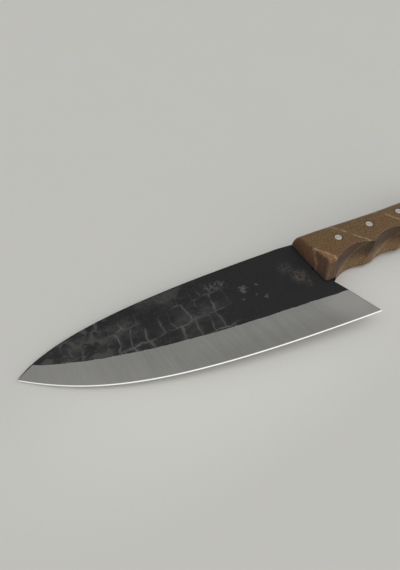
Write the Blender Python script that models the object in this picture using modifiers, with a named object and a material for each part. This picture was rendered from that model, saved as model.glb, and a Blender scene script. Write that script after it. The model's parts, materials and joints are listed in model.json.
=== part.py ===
"""Hand-forged butcher's knife: one steel forging let into a slotted wooden handle
and held there by three two-piece rivets.

The knife frame has X along the handle towards its butt, from the handle's front end,
Y towards the spine of the blade, from the line through the rivets, and Z out of the
left cheek, from the middle of the steel. An empty then lays the knife down on a
level surface: it rests on the front arris of the handle's right face and on the
point of the blade. Lengths are in metres.
"""

import bpy
import bmesh
import numpy as np
from math import atan, cos, pi, radians, sin, tan
from mathutils import Vector

# ---- blade -----------------------------------------------------------------------
BLADE_LENGTH = 0.1654        # handle front to the point
TIP_HEIGHT = 0.0040          # point above the rivet line
SPINE_HEIGHT = 0.0156        # spine above the rivet line, at the handle
HEEL_DEPTH = 0.0474          # heel corner below the rivet line
HEEL_REACH = 0.0150          # heel corner behind the handle's front end
HEEL_RAKE = radians(20.4)    # slope of the heel line from square
GRIND_DEPTH = 0.0288         # where the grind line leaves the heel line
GRIND_RUNOUT = 0.0076        # the grind line meets the spine this far from the point
BLADE_THICKNESS = 0.0036     # at the spine, at the handle
TIP_THICKNESS = 0.0016       # at the spine, at the point
CHEEK_TAPER = 0.84           # cheek thickness at the grind line over that at the spine
CUTTING_BEVEL = 0.0010       # height of the narrow bevel along the edge
CUTTING_SHOULDER = 0.0006    # thickness above the cutting bevel
EDGE_LAND = 0.00016          # thickness of the edge itself
TIP_LAND = 0.0008            # height of the blunt end of the point
# Each line of the blade leaves the heel at the first angle above level and reaches
# its far end along the second one; the two shares of its chord say how long it does so.
SPINE_SWEEP = (radians(3.5), radians(-41.9), 0.24, 0.22)
EDGE_SWEEP = (radians(6.2), radians(37.7), 0.60, 0.236)
GRIND_SWEEP = (radians(7.5), radians(28.0), 0.31, 0.29)
GRIND_MARGIN = 0.06          # share of the depth always left between spine and grind
SHOULDER_SHARE = 0.3         # most the cutting bevel takes of the depth

# ---- tang ------------------------------------------------------------------------
TANG_NECK = 0.0020           # full width only behind this
TANG_TAIL = 0.0131           # past the last rivet
TANG_ROUND = 0.0030          # corners of the end
TANG_DEPTH = 0.0063          # lower side below the rivet line, at the front
TANG_END_DEPTH = 0.0046      # the same at the end
TANG_INSET = 0.0006          # top of the tang under the back of the handle

# ---- handle ----------------------------------------------------------------------
HANDLE_LENGTH = 0.1280
HANDLE_THICKNESS = 0.0200
BACK_HEIGHT = 0.0146         # back above the rivet line, at the front
BACK_WAIST = 0.0086          # at the waist
WAIST_REACH = 0.0850         # waist behind the front end
BACK_BUTT = 0.0112           # at the butt
BELLY_DEPTH = 0.0129         # crests between the finger grooves below the rivet line
NOSE_DEPTH = 0.0193          # front guard below the rivet line
NOSE_RADIUS = 0.0030
BUTT_DEPTH = 0.0150          # butt below the rivet line
BUTT_BULGE = 0.0060          # depth of the rounded end
BUTT_LAND = 0.0040           # least length between the last groove and the rounded end
BACK_ROUND = 0.0068          # rounding of the two back arrises
BACK_SWEEP = (0.30, 0.60)    # shares of the reach over which the back stays level
BACK_SAG = 0.0010            # fall of the back over the first share
REAR_SWEEP = (0.35, 0.70)    # the same between the waist and the butt
FRONT_CHAMFER = 0.0040       # along the handle
FRONT_CHAMFER_DEPTH = 0.0080 # into each face
CHAMFER_BOW = 0.02           # its arris falls back this much per length from the rivets
NOSE_CHAMFER = 0.0070        # across the guard
NOSE_CHAMFER_DEPTH = 0.0078
FIRST_CREST = 0.0125         # first groove starts behind the front end
GROOVE_PITCH = 0.0255
GROOVE_DEPTH = 0.0040        # at the left face
GROOVE_FADE = 0.0020         # less than that at the right face
KERF_NOSE = 0.0028           # saw kerf open behind the heel line in the guard

# ---- rivets ----------------------------------------------------------------------
RIVET_COUNT = 3
FIRST_RIVET = 0.0217         # behind the front end
RIVET_PITCH = 0.0226
RIVET_DIAMETER = 0.0043
POST_DIAMETER = 0.0022
RIVET_HEAD = 0.0015          # height of the post's head
RIVET_SET = 0.0001           # rivets sit this far under the faces

# ---- fits ------------------------------------------------------------------------
CLEARANCE = 0.0003           # between pieces that touch
MARGIN = 0.0040              # cutters reach this far past what they cut

# ---- fineness --------------------------------------------------------------------
BLADE_STATIONS = 26          # along the blade
STATION_BUNCHING = 1.4       # closer together towards the point
CURVE_POINTS = 160           # along each drawn line of the blade
TANG_STATIONS = 6
BACK_POINTS = 13
BUTT_POINTS = 13
CORNER_POINTS = 5
ROUND_SEGMENTS = 5
TURN_STEPS = 24
GROOVE_FACETS = 72
SLAB_SPAN = 0.0800           # faces of the flat cutters
SLAB_DEPTH = 0.0300

HALF_HANDLE = HANDLE_THICKNESS / 2
HALF_BLADE = BLADE_THICKNESS / 2
HALF_KERF = HALF_BLADE + CLEARANCE
RIVET_HOLE = RIVET_DIAMETER / 2 + CLEARANCE
TANG_LENGTH = FIRST_RIVET + RIVET_PITCH * (RIVET_COUNT - 1) + TANG_TAIL
HANDLE_BODY = HANDLE_LENGTH - BUTT_BULGE


# ---- scene and small tools -------------------------------------------------------
def clear_scene():
    for thing in list(bpy.data.objects):
        bpy.data.objects.remove(thing, do_unlink=True)


def make_collection(name):
    group = bpy.data.collections.new(name)
    bpy.context.scene.collection.children.link(group)
    return group


def principled(name, colour, roughness, metallic):
    material = bpy.data.materials.new(name)
    material.use_nodes = True
    shader = material.node_tree.nodes["Principled BSDF"]
    shader.inputs["Base Color"].default_value = (*colour, 1.0)
    shader.inputs["Roughness"].default_value = roughness
    shader.inputs["Metallic"].default_value = metallic
    return material


def add_object(name, mesh, group, material=None, parent=None):
    thing = bpy.data.objects.new(name, mesh)
    group.objects.link(thing)
    if material:
        mesh.materials.append(material)
    if parent:
        thing.parent = parent
    return thing


def mark_cutter(thing):
    thing.hide_render = True
    thing.display_type = "WIRE"
    return thing


def cut(thing, cutter):
    step = thing.modifiers.new(cutter.name, "BOOLEAN")
    step.operation = "DIFFERENCE"
    step.solver = "EXACT"
    step.object = cutter


def cubic(start, first, second, end, count):
    """Points of a cubic curve with the two given control points, ends included."""
    t = np.linspace(0.0, 1.0, count)[:, None]
    start, first, second, end = (np.array(p, float) for p in (start, first, second, end))
    return ((1 - t) ** 3 * start + 3 * (1 - t) ** 2 * t * first
            + 3 * (1 - t) * t ** 2 * second + t ** 3 * end)


def sweep(start, end, rise, drop, first_share, second_share):
    """A cubic running towards -X that leaves at the angle rise above -X and arrives
    along the angle drop; the shares of its chord say how long each end stays so."""
    start, end = np.array(start, float), np.array(end, float)
    chord = np.linalg.norm(end - start)
    first = start + first_share * chord * np.array([-cos(rise), sin(rise)])
    second = end + second_share * chord * np.array([cos(drop), -sin(drop)])
    return cubic(start, first, second, end, CURVE_POINTS)


def plate(name, outline, half, group, material=None, parent=None):
    """A flat outline filled as a 2D curve, extruded to both sides and made a mesh."""
    curve = bpy.data.curves.new(name, "CURVE")
    curve.dimensions = "2D"
    curve.fill_mode = "BOTH"
    curve.extrude = half
    spline = curve.splines.new("POLY")
    spline.points.add(len(outline) - 1)
    for point, (x, y) in zip(spline.points, outline):
        point.co = (x, y, 0.0, 1.0)
    spline.use_cyclic_u = True
    drawn = bpy.data.objects.new(name + "_outline", curve)
    group.objects.link(drawn)
    depsgraph = bpy.context.evaluated_depsgraph_get()
    mesh = bpy.data.meshes.new_from_object(drawn.evaluated_get(depsgraph))
    form = bmesh.new()
    form.from_mesh(mesh)
    bmesh.ops.remove_doubles(form, verts=form.verts, dist=1e-6)
    bmesh.ops.dissolve_limit(form, angle_limit=radians(0.5), verts=form.verts,
                             edges=form.edges, use_dissolve_boundaries=False)
    bmesh.ops.recalc_face_normals(form, faces=form.faces)
    form.to_mesh(mesh)
    form.free()
    thing = add_object(name, mesh, group, material, parent)
    thing.matrix_world = drawn.matrix_world
    bpy.data.objects.remove(drawn, do_unlink=True)
    bpy.data.curves.remove(curve)
    return thing


def slab(name, point, normal, size, group, parent):
    """A cutter whose inner face passes through point and looks along -normal."""
    normal = Vector(normal).normalized()
    bpy.ops.mesh.primitive_cube_add(size=1.0)
    thing = bpy.context.object
    thing.name = name
    for home in thing.users_collection:
        home.objects.unlink(thing)
    group.objects.link(thing)
    thing.parent = parent
    turn = Vector((0, 0, 1)).rotation_difference(normal)
    thing.rotation_mode = "QUATERNION"
    thing.rotation_quaternion = turn
    thing.location = Vector(point) + normal * size[2] / 2
    thing.scale = size
    return mark_cutter(thing)


def round_cutter(name, radius, length, location, tilt, vertices, group, parent):
    bpy.ops.mesh.primitive_cylinder_add(radius=radius, depth=length, vertices=vertices)
    thing = bpy.context.object
    thing.name = name
    for home in thing.users_collection:
        home.objects.unlink(thing)
    group.objects.link(thing)
    thing.parent = parent
    thing.location = location
    thing.rotation_euler = (tilt, 0.0, 0.0)
    return mark_cutter(thing)


def turned(name, profile, closed, group, material, parent):
    """A profile in the XZ plane, top to bottom on its outer side, turned about Z."""
    mesh = bpy.data.meshes.new(name)
    pairs = [(i, i + 1) for i in range(len(profile) - 1)]
    if closed:
        pairs.append((len(profile) - 1, 0))
    mesh.from_pydata([(r, 0.0, z) for r, z in profile], pairs, [])
    thing = add_object(name, mesh, group, material, parent)
    screw = thing.modifiers.new("turn", "SCREW")
    screw.axis = "Z"
    screw.steps = TURN_STEPS
    screw.render_steps = TURN_STEPS
    screw.use_merge_vertices = True
    screw.merge_threshold = 0.00001
    screw.use_smooth_shade = False
    return thing


# ---- lines that several pieces share ---------------------------------------------
def heel_line(depth):
    """X of the heel line at a depth below the rivet line."""
    return HEEL_REACH - (HEEL_DEPTH - depth) * tan(HEEL_RAKE)


def back_line(count):
    """The handle's back from its front end to the butt, sagging to the waist."""
    first, second = (WAIST_REACH * share for share in BACK_SWEEP)
    front = cubic((0.0, BACK_HEIGHT), (first, BACK_HEIGHT - BACK_SAG),
                  (second, BACK_WAIST), (WAIST_REACH, BACK_WAIST), count)
    left = HANDLE_BODY - WAIST_REACH
    first, second = (WAIST_REACH + left * share for share in REAR_SWEEP)
    rear = cubic((WAIST_REACH, BACK_WAIST), (first, BACK_WAIST), (second, BACK_BUTT),
                 (HANDLE_BODY, BACK_BUTT), count // 2)
    return np.vstack([front, rear[1:]])


def back_height(x):
    line = back_line(2 * BACK_POINTS)
    return float(np.interp(x, line[:, 0], line[:, 1]))


def tang_depth(x):
    share = min(max(x / TANG_LENGTH, 0.0), 1.0)
    return TANG_DEPTH + (TANG_END_DEPTH - TANG_DEPTH) * share


def groove_count():
    """As many whole finger grooves as there is room for before the butt."""
    room = HANDLE_BODY - BUTT_LAND - FIRST_CREST
    return int(room / GROOVE_PITCH)


def rivet_places():
    return [FIRST_RIVET + RIVET_PITCH * i for i in range(RIVET_COUNT)]


# ---- blade and tang --------------------------------------------------------------
def blade_rows(count):
    """Five lines from the heel line to the point, spine to edge, as XY arrays, and the
    half thickness of the steel along each."""
    tip = np.array([-BLADE_LENGTH, TIP_HEIGHT])
    run = 1.0 - (1.0 - np.linspace(0.0, 1.0, count)) ** STATION_BUNCHING

    def along(curve, start, end_height):
        """Stations on a curve; end_height places the last one on the point's land."""
        x = start[0] + (tip[0] - start[0]) * run
        line = np.stack([x, np.interp(-x, -curve[:, 0], curve[:, 1])], axis=1)
        line[0] = start
        line[-1] = (tip[0], tip[1] + end_height * TIP_LAND)
        return line

    spine_start = (heel_line(-SPINE_HEIGHT), SPINE_HEIGHT)
    middle_start = (heel_line(TANG_DEPTH), -TANG_DEPTH)
    grind_start = (heel_line(GRIND_DEPTH), -GRIND_DEPTH)
    shoulder_start = (heel_line(HEEL_DEPTH - CUTTING_BEVEL), CUTTING_BEVEL - HEEL_DEPTH)
    edge_start = (HEEL_REACH, -HEEL_DEPTH)
    spine_curve = sweep(spine_start, tip, *SPINE_SWEEP)
    edge_curve = sweep(edge_start, tip, *EDGE_SWEEP)
    spine = along(spine_curve, spine_start, 0.5)
    edge = along(edge_curve, edge_start, -0.5)
    runout_x = tip[0] + GRIND_RUNOUT
    runout = (runout_x, float(np.interp(-runout_x, -spine_curve[:, 0], spine_curve[:, 1])))
    grind_curve = sweep(grind_start, runout, *GRIND_SWEEP)
    grind = along(grind_curve, grind_start, 0.1)
    depth = spine[:, 1] - edge[:, 1]
    highest = spine[:, 1] - GRIND_MARGIN * depth
    grind[1:-1, 1] = np.minimum(grind[:, 1], highest)[1:-1]
    shoulder = along(edge_curve + (0.0, CUTTING_BEVEL), shoulder_start, -0.25)
    highest = edge[:, 1] + SHOULDER_SHARE * depth
    shoulder[1:-1, 1] = np.minimum(shoulder[:, 1], highest)[1:-1]
    middle = along((spine_curve + edge_curve) / 2, middle_start, 0.3)
    middle[1:-1, 1] = ((spine[:, 1] + grind[:, 1]) / 2)[1:-1]
    taper = HALF_BLADE + (TIP_THICKNESS / 2 - HALF_BLADE) * run
    cheek = np.clip((grind[:, 1] - shoulder[:, 1]) / (GRIND_DEPTH / 2), 0.0, 1.0)
    half_grind = CUTTING_SHOULDER / 2 + (taper * CHEEK_TAPER - CUTTING_SHOULDER / 2) * cheek
    half_shoulder = np.full(count, CUTTING_SHOULDER / 2)
    half_edge = np.full(count, EDGE_LAND / 2)
    rows = [spine, middle, grind, shoulder, edge]
    halves = [taper, (taper + half_grind) / 2, half_grind, half_shoulder, half_edge]
    return np.array(rows), np.array(halves)


def tang_rows():
    """Top and bottom of the tang from the blade's heel line to its end."""
    columns = list(np.linspace(TANG_NECK, TANG_LENGTH - TANG_ROUND, TANG_STATIONS))
    top = [(x, min(SPINE_HEIGHT, back_height(x) - TANG_INSET)) for x in columns]
    bottom = [(x, -tang_depth(x)) for x in columns]
    top.append((TANG_LENGTH, back_height(TANG_LENGTH) - TANG_INSET - TANG_ROUND))
    bottom.append((TANG_LENGTH, TANG_ROUND - tang_depth(TANG_LENGTH)))
    return np.array(top), np.array(bottom)


def make_blade(group, cutters, material, parent):
    rows, halves = blade_rows(BLADE_STATIONS)
    top, bottom = tang_rows()
    form = bmesh.new()

    def pair(point, half):
        return (form.verts.new((point[0], point[1], half)),
                form.verts.new((point[0], point[1], -half)))

    body = [[pair(rows[r][s], halves[r][s]) for s in range(rows.shape[1])]
            for r in range(rows.shape[0])]
    tang = [[body[0][0]] + [pair(p, HALF_BLADE) for p in top],
            [body[1][0]] + [pair(p, HALF_BLADE) for p in bottom]]

    def skin(lines, towards_tip):
        for upper, lower in zip(lines, lines[1:]):
            for i in range(len(upper) - 1):
                for side in (0, 1):
                    corner = [upper[i], upper[i + 1], lower[i + 1], lower[i]]
                    face = [p[side] for p in corner]
                    if (side == 0) != towards_tip:
                        face.reverse()
                    form.faces.new(face)

    def wall(line):
        for a, b in zip(line, line[1:]):
            form.faces.new((a[0], a[1], b[1], b[0]))

    skin(body, True)
    skin(tang, False)
    rim = list(reversed(body[0])) + tang[0][1:] + list(reversed(tang[1][1:]))
    rim += [row[0] for row in body[1:]] + body[-1][1:]
    rim += [row[-1] for row in reversed(body[:-1])]
    wall(rim)
    bmesh.ops.recalc_face_normals(form, faces=form.faces)
    mesh = bpy.data.meshes.new("blade")
    form.to_mesh(mesh)
    form.free()
    blade = add_object("blade", mesh, group, material, parent)
    for i, x in enumerate(rivet_places()):
        drill = round_cutter(f"tang_drill_{i + 1}", RIVET_HOLE, BLADE_THICKNESS + MARGIN,
                             (x, 0.0, 0.0), 0.0, TURN_STEPS, cutters, parent)
        cut(blade, drill)
    return blade


# ---- handle ----------------------------------------------------------------------
def handle_outline():
    """Anticlockwise from the lower front corner: guard, belly, butt and back."""
    end = HANDLE_BODY
    last_crest = FIRST_CREST + GROOVE_PITCH * groove_count()
    corner = [(NOSE_RADIUS * (1 - cos(a)), -NOSE_DEPTH + NOSE_RADIUS * (1 - sin(a)))
              for a in np.linspace(0.0, pi / 2, CORNER_POINTS)]
    belly = [(FIRST_CREST, -NOSE_DEPTH), (FIRST_CREST, -BELLY_DEPTH),
             (last_crest, -BELLY_DEPTH)]
    third = (end - last_crest) / 3
    hook = cubic((last_crest, -BELLY_DEPTH), (last_crest + third, -BELLY_DEPTH),
                 (end - third, -BUTT_DEPTH), (end, -BUTT_DEPTH), CORNER_POINTS)
    bulge = end + BUTT_BULGE * 4 / 3    # a cubic reaches 3/4 of its control points
    butt = cubic((end, -BUTT_DEPTH), (bulge, -BUTT_DEPTH), (bulge, BACK_BUTT),
                 (end, BACK_BUTT), BUTT_POINTS)
    back = back_line(BACK_POINTS)[::-1]
    return corner + belly + [tuple(p) for line in (hook, butt, back) for p in line[1:]]


def kerf_outline():
    """The saw kerf: open at the front, along the back and through the guard."""
    front = -MARGIN
    top = BACK_HEIGHT + MARGIN
    low = NOSE_DEPTH + MARGIN
    end = TANG_LENGTH + CLEARANCE
    tang_low = TANG_DEPTH + CLEARANCE
    return [(front, top), (front, -low), (heel_line(low) + KERF_NOSE, -low),
            (heel_line(tang_low) + KERF_NOSE, -tang_low),
            (end, -tang_depth(end) - CLEARANCE), (end, top)]


def make_handle(group, cutters, material, parent):
    handle = plate("handle", handle_outline(), HALF_HANDLE, group, material, parent)
    form = bmesh.new()
    form.from_mesh(handle.data)
    weight = form.edges.layers.float.new("bevel_weight_edge")
    for edge in form.edges:
        a, b = (v.co for v in edge.verts)
        on_face = abs(a.z - b.z) < CLEARANCE
        on_back = min(a.y, b.y) > 0.0
        on_butt = min(a.x, b.x) > HANDLE_BODY - CLEARANCE
        if on_face and (on_back or on_butt):
            edge[weight] = 1.0
    form.to_mesh(handle.data)
    form.free()
    rounding = handle.modifiers.new("rounded_back", "BEVEL")
    rounding.limit_method = "WEIGHT"
    rounding.width = BACK_ROUND
    rounding.segments = ROUND_SEGMENTS
    rounding.use_clamp_overlap = False

    radius = (GROOVE_PITCH ** 2 / 4 + GROOVE_DEPTH ** 2) / (2 * GROOVE_DEPTH)
    tilt = atan(GROOVE_FADE / HANDLE_THICKNESS)
    for i in range(groove_count()):
        x = FIRST_CREST + GROOVE_PITCH * (i + 0.5)
        bottom = GROOVE_DEPTH - GROOVE_FADE / 2 - BELLY_DEPTH
        place = (x, bottom - radius / cos(tilt), 0.0)
        cut(handle, round_cutter(f"groove_cutter_{i + 1}", radius,
                                 HANDLE_THICKNESS + 4 * MARGIN, place, -tilt,
                                 GROOVE_FACETS, cutters, parent))
    for side, label in ((1, "left"), (-1, "right")):
        # each front chamfer is filed in two passes that meet at the line of the rivets
        start = (FRONT_CHAMFER, 0.0, side * HALF_HANDLE)
        for bow, part in ((CHAMFER_BOW, "upper"), (-CHAMFER_BOW, "lower")):
            slope = (-FRONT_CHAMFER_DEPTH, FRONT_CHAMFER_DEPTH * bow, side * FRONT_CHAMFER)
            cut(handle, slab(f"{part}_chamfer_{label}", start, slope,
                             (SLAB_SPAN, SLAB_SPAN, SLAB_DEPTH), cutters, parent))
        slope = (0.0, -NOSE_CHAMFER_DEPTH, side * NOSE_CHAMFER)
        start = (0.0, NOSE_CHAMFER - NOSE_DEPTH, side * HALF_HANDLE)
        cut(handle, slab(f"nose_chamfer_{label}", start, slope,
                         (2 * FIRST_CREST + MARGIN, SLAB_SPAN, SLAB_DEPTH), cutters,
                         parent))
    kerf = plate("kerf_cutter", kerf_outline(), HALF_KERF, cutters, None, parent)
    cut(handle, mark_cutter(kerf))
    for i, x in enumerate(rivet_places()):
        drill = round_cutter(f"handle_drill_{i + 1}", RIVET_HOLE,
                             HANDLE_THICKNESS + 2 * MARGIN, (x, 0.0, 0.0), 0.0,
                             TURN_STEPS, cutters, parent)
        cut(handle, drill)
    return handle


# ---- rivets ----------------------------------------------------------------------
def make_rivets(group, sleeve_metal, post_metal, parent):
    """Each rivet is a tube from the left face and a headed post from the right one."""
    outer = RIVET_DIAMETER / 2
    post = POST_DIAMETER / 2
    bore = post + CLEARANCE
    top = HALF_HANDLE - RIVET_SET
    shoulder = -top + RIVET_HEAD
    sleeve_profile = [(outer, top), (outer, shoulder + CLEARANCE),
                      (bore, shoulder + CLEARANCE), (bore, top)]
    post_profile = [(0.0, top), (post, top), (post, shoulder), (outer, shoulder),
                    (outer, -top), (0.0, -top)]
    for label, x in zip(("front", "middle", "rear"), rivet_places()):
        sleeve = turned(f"{label}_rivet_sleeve", sleeve_profile, True, group,
                        sleeve_metal, parent)
        pin = turned(f"{label}_rivet_post", post_profile, False, group, post_metal, parent)
        sleeve.location = (x, 0.0, 0.0)
        pin.location = (x, 0.0, 0.0)


# ---- the whole knife -------------------------------------------------------------
def lay_down(rest):
    """Pitch the knife until the handle's front arris and the point are level."""
    arris = Vector((FRONT_CHAMFER, 0.0, -HALF_HANDLE))
    point = Vector((-BLADE_LENGTH, TIP_HEIGHT, -TIP_THICKNESS / 2))
    pitch = atan((point.z - arris.z) / (arris.x - point.x))
    rest.rotation_euler = (0.0, -pitch, 0.0)


def centre_on_origin(rest, pieces):
    """Move the knife until the middle of its box's floor is the origin."""
    bpy.context.view_layer.update()
    depsgraph = bpy.context.evaluated_depsgraph_get()
    corners = []
    for thing in pieces.objects:
        if thing.type == "MESH":
            solid = thing.evaluated_get(depsgraph)
            corners += [solid.matrix_world @ v.co for v in solid.data.vertices]
    corners = np.array(corners)
    low, high = corners.min(axis=0), corners.max(axis=0)
    rest.location = (-(low[0] + high[0]) / 2, -(low[1] + high[1]) / 2, -low[2])


def build_knife():
    clear_scene()
    pieces = make_collection("butcher_knife")
    cutters = make_collection("cutters")
    rest = bpy.data.objects.new("knife_at_rest", None)
    pieces.objects.link(rest)
    forged = principled("forged_steel", (0.030, 0.030, 0.032), 0.55, 0.85)
    wood = principled("oiled_hardwood", (0.165, 0.100, 0.052), 0.50, 0.0)
    sleeve_metal = principled("rivet_ring", (0.62, 0.60, 0.57), 0.35, 1.0)
    post_metal = principled("rivet_core", (0.52, 0.50, 0.48), 0.42, 1.0)
    make_blade(pieces, cutters, forged, rest)
    make_handle(pieces, cutters, wood, rest)
    make_rivets(pieces, sleeve_metal, post_metal, rest)
    lay_down(rest)
    centre_on_origin(rest, pieces)
    for thing in pieces.objects:
        if thing.type == "MESH":
            thing.data.shade_smooth()
            thing.data.set_sharp_from_angle(angle=radians(30.0))


build_knife()
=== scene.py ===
import json
import math

import bpy
import numpy as np
from mathutils import Euler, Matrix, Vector


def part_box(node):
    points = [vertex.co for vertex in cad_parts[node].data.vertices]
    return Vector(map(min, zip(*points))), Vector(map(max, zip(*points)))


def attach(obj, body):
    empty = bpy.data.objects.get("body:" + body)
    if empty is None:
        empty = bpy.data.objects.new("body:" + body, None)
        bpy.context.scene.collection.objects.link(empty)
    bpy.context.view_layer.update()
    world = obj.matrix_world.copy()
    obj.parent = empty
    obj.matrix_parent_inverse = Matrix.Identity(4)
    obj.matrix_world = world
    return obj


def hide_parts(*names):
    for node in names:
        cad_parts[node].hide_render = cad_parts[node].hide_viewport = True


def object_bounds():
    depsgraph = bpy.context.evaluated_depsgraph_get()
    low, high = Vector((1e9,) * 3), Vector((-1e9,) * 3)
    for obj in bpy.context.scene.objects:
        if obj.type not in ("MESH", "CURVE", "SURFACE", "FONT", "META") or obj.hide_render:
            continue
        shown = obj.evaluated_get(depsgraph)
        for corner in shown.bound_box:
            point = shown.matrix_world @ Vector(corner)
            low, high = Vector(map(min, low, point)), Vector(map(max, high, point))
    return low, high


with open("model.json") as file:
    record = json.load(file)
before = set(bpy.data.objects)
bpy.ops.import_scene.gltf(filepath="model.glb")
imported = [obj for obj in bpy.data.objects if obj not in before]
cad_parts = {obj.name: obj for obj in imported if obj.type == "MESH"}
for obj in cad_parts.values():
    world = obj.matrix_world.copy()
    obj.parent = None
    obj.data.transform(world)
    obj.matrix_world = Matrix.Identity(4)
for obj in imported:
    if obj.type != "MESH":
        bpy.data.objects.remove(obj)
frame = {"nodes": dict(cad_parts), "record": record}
cadLow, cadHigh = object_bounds()


# where the knife lies, read from the frame
# The knife frame has x along the handle from its front end to the butt, y from the line
# through the rivets to the spine, and z out of the left cheek from the middle of the steel.
# Shapes are worked out there in millimetres and turned into the frame's metres at the end.

def readKnifeFrame():
    mounts = {mount["name"]: mount for mount in frame["record"]["mounts"]}
    left = mounts["left_handle_face"]
    right = mounts["right_handle_face"]
    out = np.array(left["axis"], float)
    out /= np.linalg.norm(out)
    spineward = np.array([0.0, 1.0, 0.0])
    buttward = np.cross(spineward, out)
    turn = np.array([buttward, spineward, out])
    middle = (np.array(left["pos_m"]) + np.array(right["pos_m"])) / 2
    handle = frame["nodes"]["handle"].data
    places = np.empty(len(handle.vertices) * 3)
    handle.vertices.foreach_get("co", places)
    alongHandle = places.reshape(-1, 3) @ buttward
    rivetLow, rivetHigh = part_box("front_rivet_post")
    origin = buttward * alongHandle.min()
    origin += spineward * (rivetLow.y + rivetHigh.y) / 2
    origin += out * (middle @ out)
    return origin, turn


knifeOrigin, knifeTurn = readKnifeFrame()


def toKnife(points):
    # metres in the frame to millimetres in the knife frame
    return (points - knifeOrigin) @ knifeTurn.T * 1000


def toFrame(points):
    return points / 1000 @ knifeTurn + knifeOrigin


def nodeLimits(name):
    mesh = frame["nodes"][name].data
    places = np.empty(len(mesh.vertices) * 3)
    mesh.vertices.foreach_get("co", places)
    places = toKnife(places.reshape(-1, 3))
    return places.min(0), places.max(0)


print("knife frame read")


# camera
camera = {
    "lens": 25.26,
    "sensor": 36.0,
    "downward": 50.0,        # degrees below level
    "turned": -26.7,         # degrees round the vertical
    "aim": (-0.04353, 0.02569, 0.0100),
    "distance": 0.22115,
}


def makeCamera():
    data = bpy.data.cameras.new("camera")
    data.lens = camera["lens"]
    data.sensor_width = camera["sensor"]
    data.clip_start = 0.005
    data.clip_end = 20.0
    thing = bpy.data.objects.new("camera", data)
    bpy.context.scene.collection.objects.link(thing)
    turn = Euler((math.radians(90 - camera["downward"]), 0, math.radians(camera["turned"])))
    thing.rotation_euler = turn
    back = turn.to_matrix() @ Vector((0, 0, camera["distance"]))
    thing.location = Vector(camera["aim"]) + back
    bpy.context.scene.camera = thing


makeCamera()
print("camera placed")


# smooth irregularity for surfaces

def waves(x, y, size, seed):
    # Value noise: random numbers on a square lattice of the given size, joined by a
    # smooth step along x and y. Values lie between -1 and 1.
    lattice = 64
    table = np.random.default_rng(seed).uniform(-1, 1, (lattice, lattice))
    u, v = x / size, y / size
    i, j = np.floor(u).astype(int), np.floor(v).astype(int)
    s, t = u - i, v - j
    s, t = s * s * (3 - 2 * s), t * t * (3 - 2 * t)

    def at(a, b):
        return table[(i + a) % lattice, (j + b) % lattice]

    low = at(0, 0) * (1 - s) + at(1, 0) * s
    high = at(0, 1) * (1 - s) + at(1, 1) * s
    return low * (1 - t) + high * t


def step(x, start, end):
    # smooth step from 0 at start to 1 at end
    t = np.clip((x - start) / (end - start), 0, 1)
    return t * t * (3 - 2 * t)


def cubic(start, first, second, end, count=160):
    # cubic curve with two control points
    t = np.linspace(0, 1, count)[:, None]
    points = [np.array(p, float) for p in (start, first, second, end)]
    return ((1 - t) ** 3 * points[0] + 3 * (1 - t) ** 2 * t * points[1]
            + 3 * (1 - t) * t ** 2 * points[2] + t ** 3 * points[3])


def gathered(start, end, spacing, places, width, strength):
    # Stations from start to end whose density is 1 plus a bell of the given width and
    # strength at each place: its running sum is cut into equal shares.
    fine = np.linspace(start, end, 4000)
    density = np.ones_like(fine)
    for place in places:
        density += strength * np.exp(-((fine - place) / width) ** 2)
    total = np.concatenate([[0], np.cumsum((density[1:] + density[:-1]) / 2)])
    total *= (fine[1] - fine[0]) / spacing
    return np.interp(np.linspace(0, total[-1], int(total[-1]) + 2), total, fine)


# meshes

def gridQuads(index):
    # quads of a grid of vertex numbers
    return np.stack([index[:-1, :-1], index[1:, :-1], index[1:, 1:], index[:-1, 1:]],
                    axis=-1).reshape(-1, 4)


def makePiece(name, points, faces, sharp=35):
    # points in the knife frame, faces a list of arrays with 3 or 4 corners each
    mesh = bpy.data.meshes.new(name)
    corners = np.concatenate([f.ravel() for f in faces]).astype(np.int32)
    counts = np.concatenate([np.full(len(f), f.shape[1]) for f in faces]).astype(np.int32)
    starts = np.concatenate([[0], np.cumsum(counts)[:-1]]).astype(np.int32)
    mesh.vertices.add(len(points))
    mesh.vertices.foreach_set("co", toFrame(points).astype(np.float32).ravel())
    mesh.loops.add(len(corners))
    mesh.loops.foreach_set("vertex_index", corners)
    mesh.polygons.add(len(counts))
    mesh.polygons.foreach_set("loop_start", starts)
    mesh.polygons.foreach_set("loop_total", counts)
    mesh.update(calc_edges=True)
    mesh.validate()
    thing = bpy.data.objects.new(name, mesh)
    bpy.context.scene.collection.objects.link(thing)
    mesh.shade_smooth()
    mesh.set_sharp_from_angle(angle=math.radians(sharp))
    return thing


def setValues(mesh, name, values):
    # a number or a vector for each vertex
    kind = "FLOAT" if values.ndim == 1 else "FLOAT_VECTOR"
    layer = mesh.attributes.new(name, kind, "POINT")
    layer.data.foreach_set("value" if values.ndim == 1 else "vector",
                           np.ascontiguousarray(values, np.float32).ravel())


def knifePlaces(mesh):
    places = np.empty(len(mesh.vertices) * 3)
    mesh.vertices.foreach_get("co", places)
    return toKnife(places.reshape(-1, 3))


def markPlaces(thing):
    # every material reads its patterns from the place in the knife frame, in millimetres
    setValues(thing.data, "knifePlace", knifePlaces(thing.data))


def fitPiece(thing, body, nodes):
    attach(thing, body)
    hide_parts(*nodes)


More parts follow.
